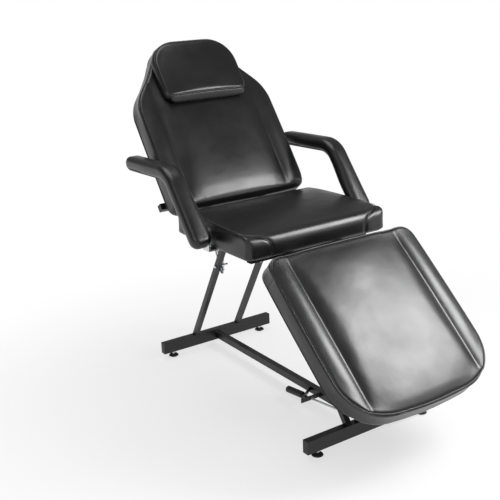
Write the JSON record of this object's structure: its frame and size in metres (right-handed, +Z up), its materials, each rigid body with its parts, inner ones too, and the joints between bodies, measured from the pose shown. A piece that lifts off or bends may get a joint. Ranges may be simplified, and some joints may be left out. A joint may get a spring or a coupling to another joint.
{
  "type": "massage table",
  "caption": "Adjustable massage couch: padded seat, reclining back with loose head pillow, hinged leg rest and side armrests on a slanted-strut steel tube base.",
  "frame": {"origin": "on the floor, under the middle of the whole at rest", "axes": "+Z up, foot end towards -Y, +X to the left of a person lying on it"},
  "size_m": [0.786, 1.4747, 1.2552],
  "materials": {
    "vinyl": "semi-gloss black vinyl",
    "plywood": "dark film-faced plywood",
    "black_steel": "satin black powder coat",
    "zinc_steel": "bright zinc plate",
    "rubber": "matt black",
    "plastic": "fine-grained black"
  },
  "bodies": {
    "base": {"arm_board_left": "plywood", "arm_board_right": "plywood", "arm_bolts": "zinc_steel", "arm_bracket_left": "zinc_steel", "arm_bracket_right": "zinc_steel", "arm_pad_left": "vinyl", "arm_pad_right": "vinyl", "arm_screws": "zinc_steel", "back_hinge_lugs": "black_steel", "bracket_bolts": "zinc_steel", "centre_bar": "black_steel", "clamp_bolts": "zinc_steel", "crossbar_plugs": "plastic", "foot_nuts": "zinc_steel", "foot_pads": "rubber", "foot_studs": "zinc_steel", "front_crossbar": "black_steel", "front_strut_left": "black_steel", "front_strut_right": "black_steel", "hinge_pins": "zinc_steel", "leg_hinge_lugs": "black_steel", "rear_crossbar": "black_steel", "rear_strut_left": "black_steel", "rear_strut_right": "black_steel", "rod_bracket": "black_steel", "rod_guide": "black_steel", "seat_board": "plywood", "seat_bolts": "zinc_steel", "seat_cross_front": "black_steel", "seat_cross_rear": "black_steel", "seat_cushion": "vinyl", "seat_rail_left": "black_steel", "seat_rail_right": "black_steel"},
    "back": {"back_board": "plywood", "back_bolts": "zinc_steel", "back_cross_lower": "black_steel", "back_cross_plugs": "plastic", "back_cushion": "vinyl", "back_lugs": "black_steel", "back_rail_left": "black_steel", "back_rail_right": "black_steel", "back_stay_lug": "black_steel", "back_stay_pin": "zinc_steel", "back_stay_tube": "black_steel"},
    "leg_rest": {"leg_board": "plywood", "leg_bolts": "zinc_steel", "leg_cushion": "vinyl", "leg_lugs": "black_steel", "leg_rail_left": "black_steel", "leg_rail_right": "black_steel", "leg_stay_lug": "black_steel", "leg_stay_pin": "zinc_steel", "leg_stay_tube": "black_steel"},
    "back_stay_link": {"back_stay": "zinc_steel"},
    "leg_stay_link": {"leg_stay": "zinc_steel"},
    "back_nut": {"back_wing_nut": "zinc_steel"},
    "leg_nut": {"leg_wing_nut": "zinc_steel"},
    "pull_handle": {"pull_rod": "zinc_steel", "pull_grip": "plastic"},
    "pillow": {"head_pillow": "vinyl"}
  },
  "joints": [
    {"name": "back_tilt", "type": "hinge", "parent": "base", "child": "back", "pos_m": [0, 0.304, 0.638], "axis": [1, 0, 0], "range_deg": [-54.5, 10]},
    {"name": "leg_tilt", "type": "hinge", "parent": "base", "child": "leg_rest", "pos_m": [0, -0.184, 0.548], "axis": [1, 0, 0], "range_deg": [-42, 12]},
    {"name": "back_stay_swing", "type": "hinge", "parent": "back", "child": "back_stay_link", "pos_m": [0, 0.48703, 0.76028], "axis": [1, 0, 0], "range_deg": [-5.5, 27.75]},
    {"name": "leg_stay_swing", "type": "hinge", "parent": "leg_rest", "child": "leg_stay_link", "pos_m": [0, -0.36492, 0.40932], "axis": [1, 0, 0], "range_deg": [-6.5, 21.5]},
    {"name": "back_nut_turn", "type": "hinge", "parent": "base", "child": "back_nut", "pos_m": [0, 0.33446, 0.42], "axis": [1, 0, 0], "range_deg": [-180, 180]},
    {"name": "leg_nut_turn", "type": "hinge", "parent": "base", "child": "leg_nut", "pos_m": [0, -0.25064, 0.33], "axis": [1, 0, 0], "range_deg": [-180, 180]},
    {"name": "pillow_lift", "type": "slide", "parent": "back", "child": "pillow", "axis": [0, -0.8141, 0.5807], "range_m": [0, 0.12]},
    {"name": "handle_pull", "type": "slide", "parent": "base", "child": "pull_handle", "axis": [0, 0.9925, -0.1219], "range_m": [0, 0.025], "stiffness_N_per_m": 400, "springref_m": -0.01}
  ],
  "couplings": [
    {"joint": "back_stay_swing", "follows": "back_tilt", "ratio": -0.5},
    {"joint": "leg_stay_swing", "follows": "leg_tilt", "ratio": -0.5}
  ]
}
